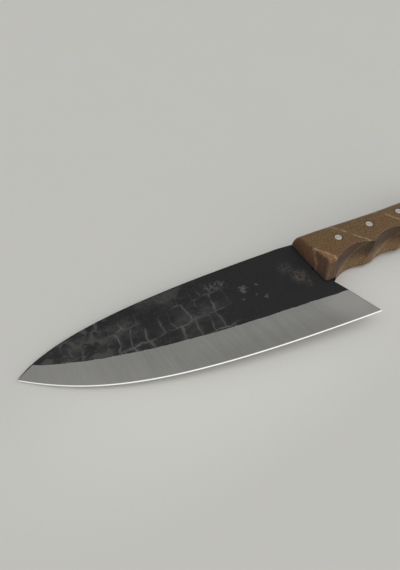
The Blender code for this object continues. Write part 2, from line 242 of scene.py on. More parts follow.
# blade and tang
blade = {
    "tipHeight": 4.0, "spineHeight": 15.6, "heelRake": 20.4,
    "heelReach": 15.0,       # heel corner behind the handle's front end
    "grindDepth": 28.8, "grindRunout": 7.6,
    "thickness": 3.6, "tipThickness": 1.6, "cheekTaper": 0.84,
    "cuttingBevel": 0.48, "cuttingShoulder": 0.6, "edgeLand": 0.16, "tipLand": 0.8,
    "tangNeck": 2.0, "tangDepth": 6.3, "tangEndDepth": 4.6, "tangInset": 0.6,
    "tangRound": 3.0,
    "spineSweep": (3.5, -41.9, 0.24, 0.22),
    "edgeSweep": (6.2, 37.7, 0.60, 0.236),
    "grindSweep": (7.5, 28.0, 0.31, 0.29),
    "easedArris": 0.45,      # rounding of the spine and heel arrises
    "spineInset": 0.05,      # the dressed spine lies this far inside
    "hammerDents": 0.07,     # depth of the forging dents
    "grindWander": 0.22,     # how far the grind line wanders
}
bladeLow, bladeHigh = nodeLimits("blade")
handleHigh = nodeLimits("handle")[1]
rivetSpots = [(lo[0] + hi[0]) / 2 for lo, hi in
              (nodeLimits(f"{label}_rivet_sleeve") for label in ("front", "middle", "rear"))]
rivetRadius = (nodeLimits("front_rivet_sleeve")[1][0]
               - nodeLimits("front_rivet_sleeve")[0][0]) / 2
bladeLength, heelDepth = -bladeLow[0], -bladeLow[1]
tangLength = bladeHigh[0]
heelReach = blade["heelReach"]
handleLength, halfHandle = handleHigh[0], handleHigh[2]
print(f"blade {bladeLength:.1f} long, heel {heelDepth:.1f} deep, tang {tangLength:.1f}, "
      f"handle {handleLength:.1f} x {2 * halfHandle:.1f}")


def heelLine(depth):
    return heelReach - (heelDepth - depth) * math.tan(math.radians(blade["heelRake"]))


def sweep(start, end, rise, drop, firstShare, secondShare):
    # A cubic towards -x that leaves rise degrees above it and arrives drop degrees below
    # it; the two shares of its chord say how long each end keeps its direction.
    start, end = np.array(start, float), np.array(end, float)
    chord = np.linalg.norm(end - start)
    rise, drop = math.radians(rise), math.radians(drop)
    first = start + firstShare * chord * np.array([-math.cos(rise), math.sin(rise)])
    second = end + secondShare * chord * np.array([math.cos(drop), -math.sin(drop)])
    return cubic(start, first, second, end)


# handle
handle = {
    "backHeight": 14.6, "backSag": 1.0, "backWaist": 8.6, "waistReach": 85.0,
    "backButt": 11.2, "backSweep": (0.30, 0.60), "rearSweep": (0.35, 0.70),
    "bellyDepth": 12.9, "noseDepth": 19.3, "noseRadius": 3.0,
    "buttDepth": 15.0, "buttBulge": 6.0, "backRound": 6.8,
    "frontChamfer": (4.0, 8.0), "noseChamfer": (7.0, 7.8),
    "chamferSlant": 0.17,    # the left one widens towards the guard by this per mm
    "slantLimits": (-12, 10),  # between these heights
    "chamferEase": 1.2,      # its arris is rounder by this at the back
    "frontEase": 0.4,        # rounding of the front end
    "guardEnds": (9, 17),    # the guard rises to the belly between these places
    "buttEase": 4.0,         # the belly is rounder by this towards the butt
    "firstCrest": 12.5, "groovePitch": 25.5, "grooveDepth": 4.0, "grooveFade": 2.0,
    "grooves": 4,
    "kerfNose": 2.8, "clearance": 0.3,
    "easedArris": 0.7,       # rounding where faces meet grooves and chamfers
    "easedNose": 1.1,        # and this much more where the nose turns under
    "crestRound": 0.35,      # rounding of the crests between grooves
    "handWork": 0.09,        # unevenness left by rasp and scraper
    "rivetGap": 0.12,        # clearance round the rivets
    "sharpAngle": 38,        # degrees beyond which an arris shades sharp
    # how the skin is divided
    "around": 236,           # points round a section
    "rays": 901, "rayLength": 40.0, "halvings": 26,
    "firstStation": 0.45, "stationGap": 0.62, "buttReach": 7.0,
    "crowding": (1.3, 2.2),  # width and strength of the closer stations by crests
    "turnWeight": 2.2,       # how much turning counts beside length round a section
    "coreHeights": (-2.3, -2.0, 0.0, -1.0, -1.9, -1.9),  # of the line the rays leave
}


def backLine():
    # the back from the front end to the butt, sagging to the waist
    top, waist, reach = handle["backHeight"], handle["backWaist"], handle["waistReach"]
    first, second = (reach * share for share in handle["backSweep"])
    front = cubic((0, top), (first, top - handle["backSag"]), (second, waist), (reach, waist))
    end = handleLength - handle["buttBulge"]
    first, second = (reach + (end - reach) * share for share in handle["rearSweep"])
    rear = cubic((reach, waist), (first, waist), (second, handle["backButt"]),
                 (end, handle["backButt"]))
    return np.vstack([front, rear[1:]])


backCurve = backLine()


def tangDepthAt(x):
    share = np.clip(x / tangLength, 0, 1)
    return blade["tangDepth"] + (blade["tangEndDepth"] - blade["tangDepth"]) * share


def bladeLines(run):
    # Five lines from heel to point, as x and y at each share of the run: spine, middle,
    # grind line, shoulder of the cutting bevel, edge.
    tip = np.array([-bladeLength, blade["tipHeight"]])
    land = blade["tipLand"]

    def along(curve, start, endHeight):
        x = start[0] + (tip[0] - start[0]) * run
        y = np.interp(-x, -curve[:, 0], curve[:, 1])
        line = np.stack([x, y], axis=1)
        line[0] = start
        line[-1] = (tip[0], tip[1] + endHeight * land)
        return line

    spineStart = (heelLine(-blade["spineHeight"]), blade["spineHeight"])
    middleStart = (heelLine(blade["tangDepth"]), -blade["tangDepth"])
    grindStart = (heelLine(blade["grindDepth"]), -blade["grindDepth"])
    shoulderDepth = heelDepth - blade["cuttingBevel"]
    shoulderStart = (heelLine(shoulderDepth), -shoulderDepth)
    edgeStart = (heelReach, -heelDepth)
    spineCurve = sweep(spineStart, tip, *blade["spineSweep"])
    edgeCurve = sweep(edgeStart, tip, *blade["edgeSweep"])
    spine = along(spineCurve, spineStart, 0.5) - (0.0, blade["spineInset"])
    edge = along(edgeCurve, edgeStart, -0.5)
    runoutX = tip[0] + blade["grindRunout"]
    runout = (runoutX, float(np.interp(-runoutX, -spineCurve[:, 0], spineCurve[:, 1])))
    grindCurve = sweep(grindStart, runout, *blade["grindSweep"])
    grind = along(grindCurve, grindStart, 0.1)
    depth = spine[:, 1] - edge[:, 1]
    wander = (waves(grind[:, 0], grind[:, 0] * 0, 7.0, 11)
              + 0.6 * waves(grind[:, 0], grind[:, 0] * 0, 2.6, 12))
    grind[:, 1] += blade["grindWander"] * wander * step(run, 0.0, 0.02)
    grind[1:-1, 1] = np.minimum(grind[:, 1], spine[:, 1] - 0.06 * depth)[1:-1]
    shoulder = along(edgeCurve + (0.0, blade["cuttingBevel"]), shoulderStart, -0.25)
    shoulder[1:-1, 1] = np.minimum(shoulder[:, 1], edge[:, 1] + 0.3 * depth)[1:-1]
    middle = along((spineCurve + edgeCurve) / 2, middleStart, 0.3)
    middle[1:-1, 1] = ((spine[:, 1] + grind[:, 1]) / 2)[1:-1]
    taper = blade["thickness"] + (blade["tipThickness"] - blade["thickness"]) * run
    cheek = np.clip((grind[:, 1] - shoulder[:, 1]) / (blade["grindDepth"] / 2), 0, 1)
    shoulderThick = blade["cuttingShoulder"]
    grindThick = shoulderThick + (taper * blade["cheekTaper"] - shoulderThick) * cheek
    thick = [taper, (taper + grindThick) / 2, grindThick,
             np.full_like(run, shoulderThick), np.full_like(run, blade["edgeLand"])]
    return np.array([spine, middle, grind, shoulder, edge]), np.array(thick) / 2


def bladeSheet():
    # Left cheek as a grid: station lines from spine to edge, their points at shares
    # between the five lines, and the tang's stations continued behind the heel line for
    # the rows above its lower side. Gives x, y, half thickness and the grid of quads.
    closeToHeel = np.array([0.0, 0.0006, 0.0015, 0.003, 0.006])
    run = np.concatenate([closeToHeel, np.linspace(0.009, 0.97, 300),
                          np.linspace(0.973, 1.0, 24)])
    lines, halves = bladeLines(run)
    closeToSpine = np.array([0.0, 0.004, 0.012, 0.026, 0.045])
    shares = [np.concatenate([closeToSpine, np.linspace(0.075, 1.0, 30)]),
              np.linspace(0, 1, 33)[1:], np.linspace(0, 1, 45)[1:], np.linspace(0, 1, 4)[1:]]
    rows = np.concatenate([s + i for i, s in enumerate(shares)])
    lower = np.minimum(np.floor(rows - 1e-9).clip(0), 3).astype(int)
    part = (rows - lower)[:, None]
    flat = (lines[lower] * (1 - part[..., None]) + lines[lower + 1] * part[..., None])
    half = halves[lower] * (1 - part) + halves[lower + 1] * part

    tangRows = len(shares[0])
    endRound = blade["tangRound"]
    tangX = np.concatenate([np.linspace(blade["tangNeck"], tangLength - endRound, 60),
                            tangLength - endRound * (1 - np.linspace(0, 1, 8)[1:]) ** 1.5])
    top = np.minimum(blade["spineHeight"],
                     np.interp(tangX, backCurve[:, 0], backCurve[:, 1]) - blade["tangInset"])
    bottom = -tangDepthAt(tangX)
    turnIn = np.clip(tangX - tangLength + endRound, 0, None)
    drop = endRound - np.sqrt(endRound ** 2 - turnIn ** 2)
    top, bottom = top - drop * 0.95, bottom + drop * 0.95
    down = shares[0][:, None]
    tangFlat = np.stack([tangX + 0 * down, top * (1 - down) + bottom * down], axis=-1)
    tangFlat = tangFlat[:, ::-1]
    tangHalf = np.full(tangFlat.shape[:2], blade["thickness"] / 2)

    count = len(rows)
    flatTang = np.zeros((count, len(tangX), 2))
    halfTang = np.zeros((count, len(tangX)))
    flatTang[:tangRows], halfTang[:tangRows] = tangFlat, tangHalf
    flat = np.concatenate([flatTang, flat], axis=1)
    half = np.concatenate([halfTang, half], axis=1)
    index = np.arange(half.size).reshape(half.shape)
    behind = len(tangX)
    quads = np.vstack([gridQuads(index[:tangRows, :behind + 1]), gridQuads(index[:, behind:])])

    # distance to the spine, the heel and the tang's outline, for their eased arrises
    fromTop = flat[0, None, :, 1] - flat[..., 1]
    heelX = heelReach - (heelDepth + flat[..., 1]) * math.tan(math.radians(blade["heelRake"]))
    below = step(-flat[..., 1], blade["tangDepth"], blade["tangDepth"] + 0.5)
    fromHeel = (heelX - flat[..., 0]) * math.cos(math.radians(blade["heelRake"]))
    fromHeel = np.where(below > 0, fromHeel, 9.0)
    fromRim = np.minimum(fromTop, fromHeel).clip(0)
    radius = np.minimum(blade["easedArris"], half * 0.5)
    missing = (1 - fromRim / np.maximum(radius, 1e-6)).clip(0, 1)
    half = half - radius * (1 - np.sqrt(1 - missing ** 2)) * 0.98
    return flat, half, quads, lines


def closedSheets(left, right, quads):
    # Two sheets with the same quads, the left one facing +z, joined round their rim: an
    # edge that only one quad uses gets a wall.
    count = len(left)
    ends = np.concatenate([quads[:, [k, (k + 1) % 4]] for k in range(4)])
    key = ends.min(1) * count + ends.max(1)
    _, first, uses = np.unique(key, return_index=True, return_counts=True)
    rim = ends[first[uses == 1]]
    walls = np.stack([rim[:, 1], rim[:, 0], rim[:, 0] + count, rim[:, 1] + count], axis=1)
    faces = np.vstack([quads, quads[:, ::-1] + count, walls])
    points = np.vstack([left, right])
    used, faces = np.unique(faces, return_inverse=True)
    return points[used], faces.reshape(-1, 4), used


def hammered(x, y, seed):
    # forging dents: two sizes of value noise, hollows kept and bumps flattened
    broad = waves(x + 300, y + 300, 9.0, seed) + 0.5 * waves(x + 300, y + 300, 4.0, seed + 1)
    return blade["hammerDents"] * np.minimum(broad, 0.35)


def makeBlade():
    flat, half, quads, lines = bladeSheet()
    x, y = flat[..., 0].ravel(), flat[..., 1].ravel()
    half = half.ravel()
    # how far below the grind line and above the edge a point lies
    grind, edge = lines[2], lines[4]
    belowGrind = np.interp(-x, -grind[:, 0], grind[:, 1]) - y
    aboveEdge = y - np.interp(-x, -edge[:, 0], edge[:, 1])
    steps = np.hypot(*np.diff(edge, axis=0).T)
    alongStations = np.concatenate([[0], np.cumsum(steps)])
    behind = flat.shape[1] - len(alongStations)
    alongStations = np.concatenate([np.linspace(-tangLength, -0.1, behind), alongStations])
    alongEdge = np.broadcast_to(alongStations, flat.shape[:2]).ravel()
    onCheek = step(-belowGrind, -0.4, 1.2) * step(half, 0.5, 0.9)
    left = half + hammered(x, y, 21) * onCheek
    right = -half - hammered(x, y, 31) * onCheek
    leftPoints = np.stack([x, y, left], axis=1)
    rightPoints = np.stack([x, y, right], axis=1)
    points, faces, used = closedSheets(leftPoints, rightPoints, quads[:, ::-1])
    used = used % len(x)
    thing = makePiece("forged_blade", points, [faces], 32)
    markPlaces(thing)
    setValues(thing.data, "belowGrind", belowGrind[used])
    setValues(thing.data, "aboveEdge", aboveEdge[used])
    setValues(thing.data, "alongEdge", alongEdge[used])
    return thing


print("measures ready")
forgedBlade = makeBlade()
print("blade made:", len(forgedBlade.data.polygons), "faces")


def roundJoin(a, b, radius):
    # the larger of two distances, the corner between them rounded to the radius
    outside = np.hypot(np.maximum(a + radius, 0), np.maximum(b + radius, 0))
    return np.minimum(np.maximum(a, b), -radius) + outside


def grooveDistance(x, y, z):
    # Depth inside the finger grooves, each a cylinder across the handle, tilted so that it
    # bites deeper on the left: its radius less the distance to its axis.
    pitch, depth, fade = handle["groovePitch"], handle["grooveDepth"], handle["grooveFade"]
    radius = (pitch ** 2 / 4 + depth ** 2) / (2 * depth)
    tilt = math.atan(fade / (2 * halfHandle))
    axisY = depth - fade / 2 - handle["bellyDepth"] - radius / math.cos(tilt)
    across = (y - axisY) * math.cos(tilt) - z * math.sin(tilt)

    def one(number):
        centre = handle["firstCrest"] + pitch * (number + 0.5)
        real = (number >= 0) & (number < handle["grooves"])
        return np.where(real, radius - np.hypot(x - centre, across), -40.0)

    number = np.floor((x - handle["firstCrest"]) / pitch - 0.5)
    return roundJoin(one(number), one(number + 1), handle["crestRound"])


def buttDistance(x, y):
    # distance past the rounded end, whose bulge is 4 t (1 - t) of its depth where the
    # height climbs as the smooth step of t
    low, high, bulge = handle["buttDepth"], handle["backButt"], handle["buttBulge"]
    share = np.clip((y + low) / (low + high), 0.001, 0.999)
    t = 0.5 - np.sin(np.arcsin(1 - 2 * share) / 3)
    slope = 4 * bulge * (1 - 2 * t) / ((low + high) * 6 * t * (1 - t))
    return (x - handleLength + bulge - 4 * bulge * t * (1 - t)) / np.hypot(1, slope)


def handleDistance(x, y, z):
    # The wood is where this is negative: two faces and a rounded back and butt, less the
    # belly with its grooves, the chamfers at the front and at the guard, and the front end.
    end = handleLength - handle["buttBulge"]
    lastCrest = handle["firstCrest"] + handle["groovePitch"] * handle["grooves"]
    face = np.abs(z) - halfHandle
    back = y - np.interp(x, backCurve[:, 0], backCurve[:, 1])
    outline = np.maximum(back, buttDistance(x, y))
    body = roundJoin(face, outline, handle["backRound"])
    rise = handle["noseDepth"] - handle["bellyDepth"]
    depth = handle["noseDepth"] - rise * step(x, *handle["guardEnds"])
    depth = depth + (handle["buttDepth"] - handle["bellyDepth"]) * step(x, lastCrest, end)
    belly = roundJoin(-depth - y, grooveDistance(x, y, z), handle["crestRound"])
    eased = handle["easedArris"] + handle["buttEase"] * step(x, lastCrest - 2, end)
    body = roundJoin(body, belly, eased)
    along, into = handle["frontChamfer"]
    along = along - handle["chamferSlant"] * np.clip(y, *handle["slantLimits"]) * step(z, -1, 1)
    chamfer = ((along - x) * into + face * along) / np.hypot(along, into)
    eased = handle["easedArris"] + handle["chamferEase"] * step(y, -2, 9)
    body = roundJoin(body, chamfer, eased)
    up, into = handle["noseChamfer"]
    nose = ((up - handle["noseDepth"] - y) * into + face * up) / math.hypot(up, into)
    nose = nose - np.maximum(x - handle["firstCrest"], 0)
    body = roundJoin(body, nose, handle["easedArris"] + handle["easedNose"])
    front = roundJoin(-x, -handle["noseDepth"] - y, handle["noseRadius"])
    body = roundJoin(body, front, handle["frontEase"])
    uneven = waves(x + 0.4 * z + 200, y * 0.8 + z + 200, 10.0, 41)
    uneven = uneven + 0.5 * waves(x - 0.3 * z + 200, y + z + 200, 4.0, 42)
    return body + handle["handWork"] * (0.5 + 0.33 * uneven)


def handleSurface():
    # Rays from a line through the handle meet its surface round each section; the points
    # of a section are then spread by length plus turning, so that arrises get more.
    frontStation, reach = handle["firstStation"], handle["buttReach"]
    crests = [handle["firstCrest"] + handle["groovePitch"] * i
              for i in range(handle["grooves"] + 1)]
    busy = [1.0, handle["frontChamfer"][0], *crests]
    main = gathered(frontStation, handleLength - reach, handle["stationGap"], busy,
                    *handle["crowding"])
    angle = np.linspace(0, math.pi / 2, 10)
    front = frontStation * (1 - np.cos(angle))
    angle = np.linspace(0, math.pi / 2, 30)[1:-1]
    butt = handleLength - reach * (1 - np.sin(angle))
    x = np.concatenate([front[:-1], main, butt])[:, None]
    coreAt = [0, 7, 16, 100, handleLength - 6, handleLength]
    centre = np.interp(x, coreAt, handle["coreHeights"])
    rays = handle["rays"]
    turn = np.linspace(0, 2 * math.pi, rays)[None, :]
    upward, outward = np.cos(turn), np.sin(turn)
    near, far = np.zeros((len(x), rays)), np.full((len(x), rays), handle["rayLength"])
    for _ in range(handle["halvings"]):
        middle = (near + far) / 2
        inside = handleDistance(x, centre + middle * upward, middle * outward) < 0
        near, far = np.where(inside, middle, near), np.where(inside, far, middle)
    y, z = centre + near * upward, near * outward
    dy, dz = np.diff(y, axis=1), np.diff(z, axis=1)
    steps = np.hypot(dy, dz) + 1e-9
    heading = np.unwrap(np.arctan2(dy, dz), axis=1)
    turning = np.abs(np.diff(heading, axis=1, append=heading[:, :1]))
    turning[:, -1] = 0
    weighed = steps + handle["turnWeight"] * np.minimum(turning, 1)
    total = np.cumsum(np.concatenate([0 * x, weighed], 1), 1)
    total = total / total[:, -1:] + 2 * np.arange(len(x))[:, None]
    count = handle["around"]
    wanted = np.linspace(0, 1, count + 1)[None, :-1] + 2 * np.arange(len(x))[:, None]
    ring = [np.interp(wanted.ravel(), total.ravel(), v.ravel()) for v in (y, z)]
    points = np.stack([np.repeat(x[:, 0], count), *ring], axis=1)
    index = np.arange(len(points)).reshape(len(x), count)
    index = np.concatenate([index, index[:, :1]], axis=1)
    quads = gridQuads(index)
    tips = np.array([[0.0, centre[0, 0], 0.0], [handleLength - 0.05, centre[-1, 0], 0.0]])
    frontPole, buttPole = len(points), len(points) + 1
    fan = np.stack([index[0, :-1], index[0, 1:], np.full(count, frontPole)], axis=1)
    cap = np.stack([index[-1, 1:], index[-1, :-1], np.full(count, buttPole)], axis=1)
    return np.vstack([points, tips]), [quads, fan, cap]


def outwards(points, faces):
    # turns every face round if the volume that they close comes out negative
    volume = 0.0
    for group in faces:
        for k in range(1, group.shape[1] - 1):
            a, b, c = points[group[:, 0]], points[group[:, k]], points[group[:, k + 1]]
            volume += np.einsum("ij,ij->", a, np.cross(b, c))
    return faces if volume > 0 else [group[:, ::-1] for group in faces]


def prism(name, outline, low, high):
    # an outline in x and y carried from one z to another
    count = len(outline)
    outline = np.array(outline, float)
    points = np.vstack([np.column_stack([outline, np.full(count, z)]) for z in (high, low)])
    ring = np.arange(count)
    after = np.roll(ring, -1)
    walls = np.stack([ring, after, after + count, ring + count], axis=1)
    faces = outwards(points, [ring[None, ::-1], ring[None] + count, walls])
    return makePiece(name, points, faces)


def kerfOutline():
    # the saw kerf: open at the front, along the back and through the guard
    gap, nose = handle["clearance"], handle["kerfNose"]
    low, top, end = handle["noseDepth"] + 4, handle["backHeight"] + 4, tangLength + gap
    tangLow = blade["tangDepth"] + gap
    return [(-4, top), (-4, -low), (heelLine(low) + nose, -low),
            (heelLine(tangLow) + nose, -tangLow),
            (end, -float(tangDepthAt(end)) - gap), (end, top)]


def cutAway(thing, cutters, sharp):
    # takes the cutters out of a piece and removes them
    for cutter in cutters:
        taking = thing.modifiers.new(cutter.name, "BOOLEAN")
        taking.operation = "DIFFERENCE"
        taking.solver = "MANIFOLD"
        taking.object = cutter
    depsgraph = bpy.context.evaluated_depsgraph_get()
    mesh = bpy.data.meshes.new_from_object(thing.evaluated_get(depsgraph))
    thing.modifiers.clear()
    thing.data = mesh
    for cutter in cutters:
        bpy.data.objects.remove(cutter, do_unlink=True)
    mesh.shade_smooth()
    mesh.set_sharp_from_angle(angle=math.radians(sharp))


def makeHandle():
    points, faces = handleSurface()
    thing = makePiece("carved_handle", points, outwards(points, faces))
    halfKerf = blade["thickness"] / 2 + handle["clearance"]
    cutters = [prism("kerf", kerfOutline(), -halfKerf, halfKerf)]
    turn = np.linspace(0, 2 * math.pi, 65)[:-1]
    for number, spot in enumerate(rivetSpots):
        radius = rivetRadius + handle["rivetGap"]
        circle = np.column_stack([spot + radius * np.cos(turn), radius * np.sin(turn)])
        cutters.append(prism(f"drill_{number}", circle, -halfHandle - 4, halfHandle + 4))
    cutAway(thing, cutters, handle["sharpAngle"])
    markPlaces(thing)
    normals = np.empty(len(thing.data.vertices) * 3)
    thing.data.vertices.foreach_get("normal", normals)
    setValues(thing.data, "facing", normals.reshape(-1, 3) @ knifeTurn.T)
    return thing


carvedHandle = makeHandle()
print("handle made:", len(carvedHandle.data.polygons), "faces")


# rivets
rivet = {
    "under": 0.1,            # sits this far under the faces
    "post": 1.12, "joint": 0.05, "head": 1.5,
    "eased": 0.16, "dome": 0.06,
    "seat": 0.1,             # the sleeve ends this far short of the head
}


def easedProfile(corners, radii, count=6):
    # corners of a profile replaced by arcs: between the points one radius before and after
    # a corner, (1 - t)^2 a + 2 t (1 - t) corner + t^2 b
    corners = np.array(corners, float)
    out = []
    t = np.linspace(0, 1, count)[:, None]
    for i, radius in enumerate(radii):
        corner = corners[i]
        if radius == 0:
            out.append(corner[None])
            continue
        before, after = corners[i - 1], corners[(i + 1) % len(corners)]
        a = corner + radius * (before - corner) / np.linalg.norm(before - corner)
        b = corner + radius * (after - corner) / np.linalg.norm(after - corner)
        out.append((1 - t) ** 2 * a + 2 * t * (1 - t) * corner + t ** 2 * b)
    return np.vstack(out)


def turned(name, spot, profile, closed, count=72):
    # a profile of radius and height turned about the rivet's axis; an open one starts and
    # ends on the axis, where its ends become poles
    turn = np.linspace(0, 2 * math.pi, count + 1)[:-1]
    body = profile if closed else profile[1:-1]
    radius, height = body[:, :1], body[:, 1:]
    ring = np.stack([spot + radius * np.cos(turn), radius * np.sin(turn),
                     height + 0 * turn], axis=-1)
    index = np.arange(ring.shape[0] * count).reshape(-1, count)
    index = np.concatenate([index, index[:, :1]], axis=1)
    points = ring.reshape(-1, 3)
    if closed:
        faces = [gridQuads(np.concatenate([index, index[:1]]))]
    else:
        top, low = len(points), len(points) + 1
        points = np.vstack([points, [[spot, 0, profile[0, 1]], [spot, 0, profile[-1, 1]]]])
        faces = [gridQuads(index),
                 np.stack([index[0, 1:], np.full(count, top), index[0, :-1]], axis=1),
                 np.stack([index[-1, :-1], np.full(count, low), index[-1, 1:]], axis=1)]
    thing = makePiece(name, points, outwards(points, faces), 50)
    markPlaces(thing)
    places = knifePlaces(thing.data)
    setValues(thing.data, "fromAxis", np.hypot(places[:, 0] - spot, places[:, 1]))
    return thing


def makeRivet(label, spot):
    top = halfHandle - rivet["under"]
    outer, post, bore = rivetRadius, rivet["post"], rivet["post"] + rivet["joint"]
    shoulder, eased, dome = -top + rivet["head"], rivet["eased"], rivet["dome"]
    foot = shoulder + rivet["seat"]
    ring = easedProfile([(outer, top - dome), (outer, foot), (bore, foot),
                         (bore, top - dome * 0.3)], [eased, eased, 0, eased * 0.7])
    pin = easedProfile([(0, top), (post * 0.6, top - dome * 0.1), (post, top - dome * 0.3),
                        (post, shoulder), (outer, shoulder), (outer, -top + dome),
                        (outer * 0.6, -top + dome * 0.3), (0, -top)],
                       [0, 0, eased * 0.7, 0, eased, eased, 0, 0])
    sleeve = turned(f"{label}_ring", spot, ring, True)
    core = turned(f"{label}_core", spot, pin, False)
    return sleeve, core


rivets = [(label, *makeRivet(label, spot))
          for label, spot in zip(("front", "middle", "rear"), rivetSpots)]
print("rivets made")


# finishes

class Field:
    # wraps a shader socket, so that sums on it add Math nodes

    def __init__(self, nodes, socket):
        self.nodes = nodes
        self.socket = socket

    def __add__(self, other):
        return self.nodes.math("ADD", self, other)

    def __sub__(self, other):
        return self.nodes.math("SUBTRACT", self, other)

    def __rsub__(self, other):
        return self.nodes.math("SUBTRACT", other, self)

    def __mul__(self, other):
        return self.nodes.math("MULTIPLY", self, other)

    def __truediv__(self, other):
        return self.nodes.math("DIVIDE", self, other)

    __radd__ = __add__
    __rmul__ = __mul__


class Nodes:
    # a node tree, with short ways to add to it

    def __init__(self, tree):
        self.tree = tree

    def node(self, kind, settings=None, sockets=None):
        made = self.tree.nodes.new(kind)
        for setting, value in (settings or {}).items():
            setattr(made, setting, value)
        for socket, value in (sockets or {}).items():
            self.feed(made.inputs[socket], value)
        return made

    def feed(self, socket, value):
        if isinstance(value, Field):
            self.tree.links.new(value.socket, socket)
        elif value is not None:
            socket.default_value = value

    def math(self, operation, *values):
        made = self.node("ShaderNodeMath", {"operation": operation}, dict(enumerate(values)))
        return Field(self, made.outputs[0])

    def larger(self, a, b):
        return self.math("MAXIMUM", a, b)

    def size(self, a):
        return self.math("ABSOLUTE", a)

    def given(self, name, part="Fac"):
        made = self.node("ShaderNodeAttribute", {"attribute_name": name})
        return Field(self, made.outputs[part])

    def parts(self, vector):
        made = self.node("ShaderNodeSeparateXYZ", {}, {0: vector})
        return [Field(self, made.outputs[k]) for k in range(3)]

    def vector(self, x, y, z=0.0):
        made = self.node("ShaderNodeCombineXYZ", {}, {0: x, 1: y, 2: z})
        return Field(self, made.outputs[0])

    def place(self, scale=(1, 1, 1), turn=(0, 0, 0), shift=(0, 0, 0)):
        # the place in millimetres, turned by degrees, then scaled and shifted
        made = self.node("ShaderNodeMapping", {"vector_type": "POINT"},
                         {"Vector": self.given("knifePlace", "Vector"),
                          "Rotation": [math.radians(a) for a in turn]})
        made = self.node("ShaderNodeMapping", {"vector_type": "POINT"},
                         {"Vector": Field(self, made.outputs[0]), "Scale": scale,
                          "Location": shift})
        return Field(self, made.outputs[0])

    def noise(self, place, detail=2.0, rough=0.5, warp=0.0, scale=1.0):
        made = self.node("ShaderNodeTexNoise", {"noise_dimensions": "3D"},
                         {"Vector": place, "Scale": scale, "Detail": detail,
                          "Roughness": rough, "Distortion": warp})
        return Field(self, made.outputs["Fac"])

    def cellRims(self, place, random):
        # distance to the nearest border between cells
        made = self.node("ShaderNodeTexVoronoi",
                         {"feature": "DISTANCE_TO_EDGE", "voronoi_dimensions": "2D"},
                         {"Vector": place, "Scale": 1.0, "Randomness": random})
        return Field(self, made.outputs["Distance"])

    def rise(self, value, low, high, start=0.0, end=1.0):
        # smooth step of a value from low to high
        made = self.node("ShaderNodeMapRange", {"interpolation_type": "SMOOTHSTEP"},
                         {"Value": value, "From Min": low, "From Max": high,
                          "To Min": start, "To Max": end})
        return Field(self, made.outputs[0])

    def blend(self, share, a, b):
        # colour a where the share is 0, b where it is 1
        made = self.node("ShaderNodeMix", {"data_type": "RGBA"}, {0: share})
        for socket, colour in ((made.inputs[6], a), (made.inputs[7], b)):
            self.feed(socket, colour if isinstance(colour, Field) else (*colour, 1.0))
        return Field(self, made.outputs[2])

    def tint(self, colour, share, factor):
        # a colour multiplied by the factor colour to the given share
        made = self.node("ShaderNodeMix", {"data_type": "RGBA", "blend_type": "MULTIPLY"},
                         {0: share})
        for socket, colour in ((made.inputs[6], colour), (made.inputs[7], factor)):
            self.feed(socket, colour if isinstance(colour, Field) else (*colour, 1.0))
        return Field(self, made.outputs[2])


class Finish(Nodes):
    # a material and its shader

    def __init__(self, name, **uniform):
        self.material = bpy.data.materials.new(name)
        self.material.use_nodes = True
        super().__init__(self.material.node_tree)
        self.shader = self.tree.nodes["Principled BSDF"]
        for socket, value in uniform.items():
            self.shader.inputs[socket.replace("_", " ")].default_value = value

    def bumped(self, height):
        # height in millimetres
        made = self.node("ShaderNodeBump", {}, {"Height": height, "Distance": 0.001,
                                                "Strength": 1.0})
        self.feed(self.shader.inputs["Normal"], Field(self, made.outputs[0]))

    def finished(self, **sockets):
        for socket, value in sockets.items():
            self.feed(self.shader.inputs[socket.replace("_", " ")], value)
        return self.material


steel = {
    "scale": (0.0086, 0.0086, 0.0098),      # forge scale
    "scalePale": (0.060, 0.058, 0.056),     # worn scale
    "vein": (0.100, 0.098, 0.094),
    "stain": (0.085, 0.070, 0.056),
    "ground": (0.300, 0.296, 0.282),        # wide bevel
    "groundPale": (0.365, 0.360, 0.345),
    # a paler bevel colour, for the painted sheen by the heel and the paling towards the point
    "groundSheenPale": (0.47, 0.46, 0.445),
    "polished": (0.84, 0.84, 0.82),         # cutting bevel
    "cell": (7.6, 12.0), "rowShift": 6.2,   # size of the hammered cells, and their rows
    "cellsStart": (-131, -119), "cellsEnd": (-50, -60), "cellsTop": (14, 8),
    "tipPaling": (-95, -150),                 # the bevel pales between these places
    "heelSheenPatch": (3.0, -34.0, 17.0),        # x, y and size of a painted sheen patch on the bevel
    # x, y, size and strength of worn spots and of stains on the scale
    "flakes": ((-42.0, -1.0, 4.6, 1.0), (-34.0, -1.5, 2.0, 0.9), (-37.0, -7.5, 2.2, 0.7),
               (-33.0, -11.0, 2.6, 0.8), (-45.0, -7.0, 1.8, 0.7), (-52.0, 8.0, 6.0, 0.7),
               (-58.0, 9.5, 5.0, 0.6)),
    "stains": ((-9.5, -8.0, 7.0, 1.0), (-13.5, 0.5, 6.5, 0.55), (-8.0, -14.5, 4.0, 0.5)),
}


def bell(finish, x, y, spot):
    # 1 at a spot of x, y and size on the cheek, falling to 0 at its size
    across, up, size = x - spot[0], y - spot[1], spot[2]
    distance = finish.math("SQRT", across * across + up * up)
    return finish.rise(distance, size, size * 0.25)


def scattered(finish, x, y, spots):
    # spots added together, each by its strength
    total = 0.0
    for spot in spots:
        total = bell(finish, x, y, spot) * spot[3] + total
    return total


